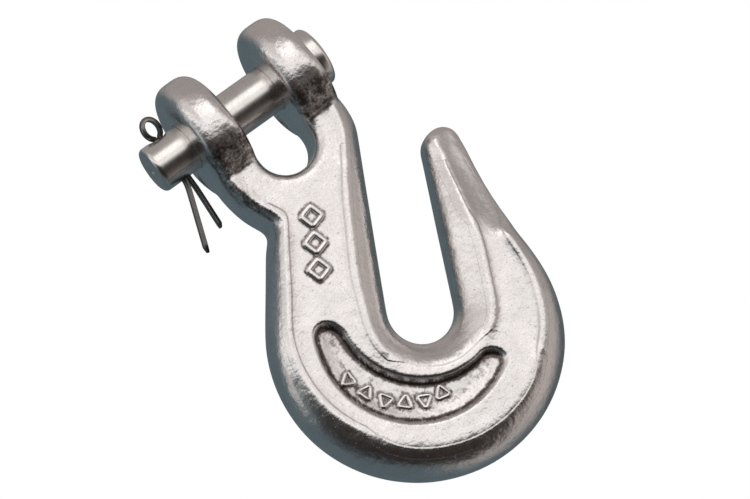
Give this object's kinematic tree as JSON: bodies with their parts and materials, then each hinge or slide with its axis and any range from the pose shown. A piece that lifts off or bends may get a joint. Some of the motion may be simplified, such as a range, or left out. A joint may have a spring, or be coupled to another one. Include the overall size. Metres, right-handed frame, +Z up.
{
  "type": "safety chain hook",
  "caption": "Forged clevis grab hook for a safety chain: a round bowl with a narrow slanted throat, a forked clevis, a headed clevis pin and a split cotter pin that holds it.",
  "frame": {"origin": "centreline of the clevis pin, midway between the two ears", "axes": "+X along the clevis pin toward its head, +Z up along the load line from the throat to the pin, +Y out of the back face; the hook hangs from its pin"},
  "size_m": [0.0598, 0.0242, 0.0956],
  "materials": {
    "forged_steel": "stainless steel, tumbled and polished to a soft bright sheen",
    "turned_steel": "turned stainless steel, satin with fine lathe marks",
    "wire_steel": "drawn stainless wire, slightly darker"
  },
  "bodies": {
    "hook": {"hook_body": "forged_steel"},
    "pin": {"clevis_pin": "turned_steel"},
    "cotter": {"cotter_pin": "wire_steel"}
  },
  "joints": [
    {"name": "pin_turn", "type": "hinge", "parent": "hook", "child": "pin", "pos_m": [0, 0, 0], "axis": [1, 0, 0], "continuous": true},
    {"name": "cotter_slide", "type": "slide", "parent": "pin", "child": "cotter", "axis": [0, -0.1392, 0.9903], "range_m": [0, 0.0008]}
  ]
}
